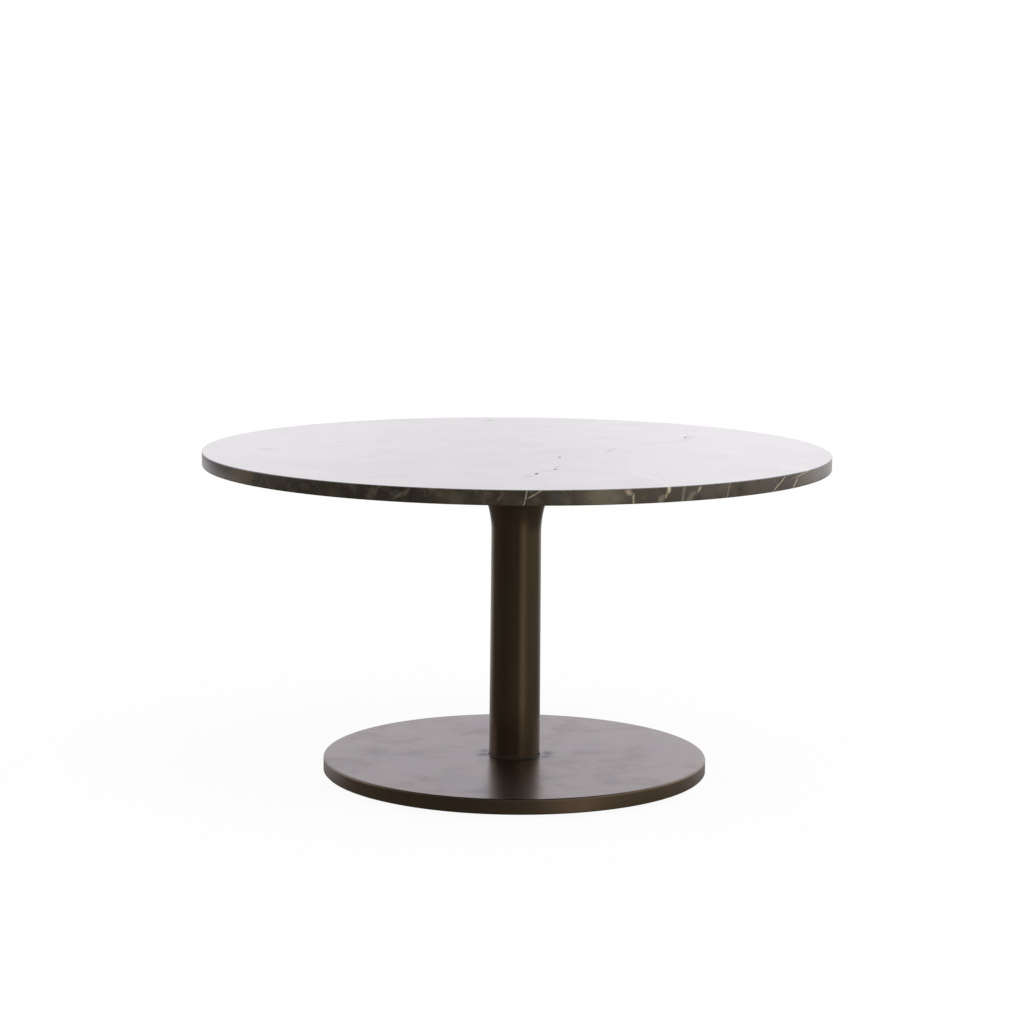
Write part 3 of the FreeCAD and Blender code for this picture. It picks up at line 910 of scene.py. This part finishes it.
def marble():
    """Clouded brown stone with its blooms, veins and pits, polished on its face alone."""
    finish, start = new_finish("brown_marble")
    place = place_of(start)
    height = parts_of(place)[2]
    inward = top_radius - distance_from_axis(place)
    drift = start.noise(place, 6, 3, 0.5, "Color") - 0.5
    shiver = start.noise(place, 85, 3, 0.6, "Color") - 0.5
    warped = place + drift * inward * 0.55 + shiver * 0.003

    clouds = start.noise(warped, 14, 6, 0.6)
    mottle = start.noise(warped, 75, 5, 0.6)
    flecks = start.noise(place, 420, 3, 0.6)
    stone = clouds.step(0.34, 0.68).mix(DARK_STONE, BROWN_STONE)
    for bloom in BLOOMS:
        at_x, at_y = rim_point(bloom.angle, bloom.inset * MM)
        away = (warped * (1, 1, 2)).distance((at_x, at_y, top_low.z + top_high.z))
        ragged = away + (clouds - 0.5) * (bloom.reach * 1.2 * MM)
        ragged = ragged + (mottle - 0.5) * ((bloom.reach * 0.5 + 8) * MM)
        shows = ragged.step(bloom.reach * MM, bloom.reach * 0.3 * MM) * bloom.weight
        stone = shows.mix(stone, bloom.tone)
    stone = (mottle.step(0.47, 0.72) * 0.45).mix(stone, PALE_GRAIN)
    stone = (mottle.step(0.46, 0.28) * 0.55).mix(stone, DEEP_GRAIN)
    stone = (flecks.step(0.58, 0.78) * 0.2).mix(stone, FLECK)

    jitter = (start.noise(place, 190, 3, 0.6) - 0.5) * (3.2 * MM)
    breaks = start.noise(place, 150, 3, 0.6).step(0.30, 0.55)
    web = start.node(
        "ShaderNodeTexVoronoi",
        {"feature": "DISTANCE_TO_EDGE"},
        {"Vector": warped, "Scale": 13.0},
        "Distance",
    )
    patches = start.noise(place, 8, 3, 0.5).step(0.5, 0.66)
    fine = web.step(0.022, 0.003) * patches * inward.step(8 * MM, 50 * MM) * 0.5
    cream = (veins_in(warped, jitter) * (breaks * 0.75 + 0.25)).larger(fine * breaks)
    stone = cream.mix(stone, CREAM)
    worn = height.step(top_high.z - 1.1 * MM, top_high.z - 0.5 * MM)
    worn = worn * height.step(top_high.z, top_high.z - 0.3 * MM) * flecks.step(0.35, 0.6)
    stone = (worn * 0.35).mix(stone, WORN_ARRIS)

    face = height.step(top_high.z - 0.9 * MM, top_high.z - 0.05 * MM)
    underside = height.step(top_low.z + 0.6 * MM, top_low.z)
    dull = marked(start, place + shiver * 0.01, FISSURES) * face
    coat(
        start,
        Base_Color=(dull * 0.7).mix(stone, PIT),
        Roughness=0.24 - face * 0.16 + underside * 0.3 + mottle * 0.04 + dull * 0.5,
        IOR=1.5,
        Coat_Weight=face * (1 - dull) * (1 - clouds.step(0.4, 0.7) * 0.12),
        Coat_Roughness=0.03,
        Normal=start.bump(clouds + mottle * 0.1, 0.00001),
    )
    return finish


dress(marble_top, marble(), "marble_top")


# Threaded inserts: four brass sleeves glued into blind holes in the underside of
# the stone, because stone can't hold a thread.
def turned_brass():
    """Yellow brass with the dull clouds of handling and a fine turned grain."""
    finish, start = new_finish("turned_brass")
    place = place_of(start)
    clouds = start.noise(place, 150, 4, 0.6)
    grain = start.noise(place * (1, 1, 6), 900, 2, 0.5)
    tone = clouds.step(0.3, 0.7).mix(colour(0.46, 0.31, 0.12), colour(0.68, 0.50, 0.23))
    coat(
        start,
        Base_Color=tone,
        Metallic=1.0,
        Roughness=0.22 + clouds * 0.2,
        Normal=start.bump(grain, 0.00001),
    )
    return finish


finish_nodes(turned_brass(), "top_inserts")


# Bolts and washers of the top: four hexagon bolts, M6, that come up through the
# plate and the gasket into the inserts. All are zinc plated.
bolts_low, bolts_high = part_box("top_bolts")
bolt_radius = 3 * MM
bolt_pitch = 1 * MM
bolt_flats = 10 * MM
bolt_head = 4 * MM
bolt_tip = 0.5 * MM
head_under = bolts_low.z + bolt_head
bolt_outline = [
    (0, bolts_low.z),
    *chamfer(bolt_flats, bolts_low.z, 1),
    (hexagon(bolt_flats), head_under),
    *thread(bolt_radius, bolt_pitch, head_under, bolts_high.z - bolt_tip),
    (bolt_radius - bolt_tip, bolts_high.z),
    (0, bolts_high.z),
]
bolts_mesh = bmesh.new()
for x, y in insert_places:
    spin(bolts_mesh, bolt_outline, HEX_STEPS, x, y)
top_bolts = finished("hexagon_bolts", bolts_mesh)
dress(top_bolts, zinc, "top_bolts")
finish_nodes(zinc, "top_washers")


# Studio: a pale floor that fades into a white backdrop, soft light from the
# whole room, and one broad lamp to the right of the camera. The stone and the
# metal also mirror a window, the walls and a pale board.
FLOOR_RINGS = (12.0, 3.0, 0.8, 0.0)
FLOOR_STEPS = 64


def studio_floor():
    """White paper that keeps the table's shadow, glows white far off and is clear from below."""
    finish, start = new_finish("studio_floor")
    from_axis = distance_from_axis(place_of(start))
    glow = start.node("ShaderNodeEmission", {}, {"Color": colour(1, 1, 1), "Strength": 1.0})
    paint = start.node("ShaderNodeBsdfDiffuse", {}, {"Color": colour(0.9, 0.9, 0.9)})
    far = from_axis.step(0.1, 1.2) * 0.06 + 0.94
    lit = start.node("ShaderNodeMixShader", {}, {0: far, 1: paint, 2: glow})
    clear = start.node("ShaderNodeBsdfTransparent", {}, {})
    below = start.node("ShaderNodeNewGeometry", {}, {}, "Backfacing")
    either = start.node("ShaderNodeMixShader", {}, {0: below, 1: lit, 2: clear})
    start.node("ShaderNodeOutputMaterial", {}, {"Surface": either})
    return finish


floor_mesh = bmesh.new()
rings = [add_ring(floor_mesh, radius, 0.0, FLOOR_STEPS) for radius in FLOOR_RINGS]
for outer, inner in zip(rings, rings[1:]):
    skin(floor_mesh, outer, inner)
floor = finished("floor", floor_mesh)
if floor.data.polygons[0].normal.z < 0:
    floor.data.flip_normals()
floor.data.materials.append(studio_floor())
floor.visible_glossy = False

world = bpy.data.worlds.new("studio")
bpy.context.scene.world = world
world.use_nodes = True
world.node_tree.nodes.clear()
room = Shade(world.node_tree)

# A look is a direction in the room, with x to the right, y to the back and z up.
# Its side is the bearing in degrees from the front towards +X.
look = room.node("ShaderNodeTexCoord", {}, {}, "Generated")
look_x, look_y, look_z = parts_of(look)
side = room.node("ShaderNodeMath", {"operation": "ARCTAN2"}, {0: look_x, 1: look_y * -1.0})
side = side * math.degrees(1)

# The backdrop rises from the horizon, cooler in tone higher up, and is lit most
# at the right. The ceiling is lit from the right too.
LOW_WHITE = colour(0.995, 0.98, 1.0)
HIGH_WHITE = colour(1.200, 1.207, 1.394)
backdrop = look_y.step(-0.25, 0.35) * look_z.step(-0.03, 0.05)
backdrop_light = 0.96 + look_x.step(-0.02, 0.10) * 0.11 + look_x.step(-0.02, -0.10) * 0.055
backdrop_tone = look_z.step(0.12, 0.22).mix(LOW_WHITE, HIGH_WHITE)
ceiling = look_z.step(0.35, 0.90) * look_y.step(-0.80, -0.05)
ceiling_light = look_x.step(-0.5, 0.6) * 0.60 + 0.35

# Below the horizon the room is dim, most of all near the floor and at the left. The
# window is in front, the wall at the right, and the board behind at the left.
DIM_LIGHT = 0.185
WINDOW_LIGHT = 0.52
WALL_LIGHT = 0.27
BOARD_LIGHT = 0.75
window = abs(side - 36).step(26, 2) * (look_z.step(-0.42, -0.28) * 0.9 + 0.1)
right_wall = side.step(26, 56) * side.step(150, 95)
left_gloom = abs(side + 52).step(45, 10) * 0.04
floor_gloom = look_z.step(-0.35, -0.80) * 0.35
board_middle = look_z.step(-0.13, -0.16) * look_z.step(-0.22, -0.19)
left_board = (look_y + board_middle * 0.30).step(0.65, 0.93) * look_x.step(0.0, -0.2)
left_board = left_board * look_z.step(-0.06, -0.12) * look_z.step(-0.22, -0.18)
backdrop_foot = look_y.step(0.42, 0.88) * (look_x.step(-0.2, 0.2) * 0.46 + 0.16)
fade = look_z.step(-0.25, -0.09) * 1.2 + 0.1
behind = (backdrop_foot * fade).larger(left_board * BOARD_LIGHT)
in_front = (window * WINDOW_LIGHT).larger(right_wall * fade * WALL_LIGHT)
dim = (DIM_LIGHT - left_gloom + behind + in_front) * (1 - floor_gloom)
mirrored = dim + backdrop * (backdrop_light - dim)
mirrored = mirrored + ceiling * (ceiling_light - mirrored)

# The camera sees plain white, gloss mirrors the room, and all else gets soft light.
SOFT_LIGHT = 0.62
path = room.node("ShaderNodeLightPath", {}, {})
rays = {socket.name: Shade(world.node_tree, socket) for socket in path.socket.node.outputs}
seen = rays["Is Camera Ray"] + rays["Is Transmission Ray"]
gloss = rays["Is Glossy Ray"]
level = seen + gloss * mirrored + (1 - seen - gloss) * SOFT_LIGHT
tint = gloss.mix(colour(1, 1, 1), backdrop_tone)
sky = room.node("ShaderNodeBackground", {}, {"Color": tint, "Strength": level})
room.node("ShaderNodeOutputWorld", {}, {"Surface": sky})

lamp_data = bpy.data.lights.new("soft_lamp", "AREA")
lamp_data.shape = "RECTANGLE"
lamp_data.size = 1.4
lamp_data.size_y = 1.8
lamp_data.energy = 42
lamp = bpy.data.objects.new("soft_lamp", lamp_data)
bpy.context.scene.collection.objects.link(lamp)
lamp.location = (1.5, -1.7, 2.2)
lamp.rotation_euler = (Vector((0, 0, 0.3)) - lamp.location).to_track_quat("-Z", "Y").to_euler()
lamp.visible_camera = False
lamp.visible_glossy = False


# Camera: the photograph's viewpoint, a long lens a little above the top. Its
# turns are in radians: to the left, down from level, and about the view.
camera_data = bpy.data.cameras.new("camera")
camera_data.sensor_width = 36
camera_data.lens = 96.06
camera_data.clip_end = 100
camera = bpy.data.objects.new("camera", camera_data)
bpy.context.scene.collection.objects.link(camera)
camera_distance = 3.2489
camera_height = 0.7702
camera_pan = 0.00165
camera_dip = 0.13769
camera_roll = 0.00850
stand = Matrix.Translation((0, -camera_distance, camera_height))
pan = Matrix.Rotation(camera_pan, 4, "Z")
tilt = Matrix.Rotation(math.pi / 2 - camera_dip, 4, "X")
roll = Matrix.Rotation(camera_roll, 4, "Z")
camera.matrix_world = stand @ pan @ tilt @ roll
bpy.context.scene.camera = camera
bpy.context.scene.view_settings.view_transform = "Standard"
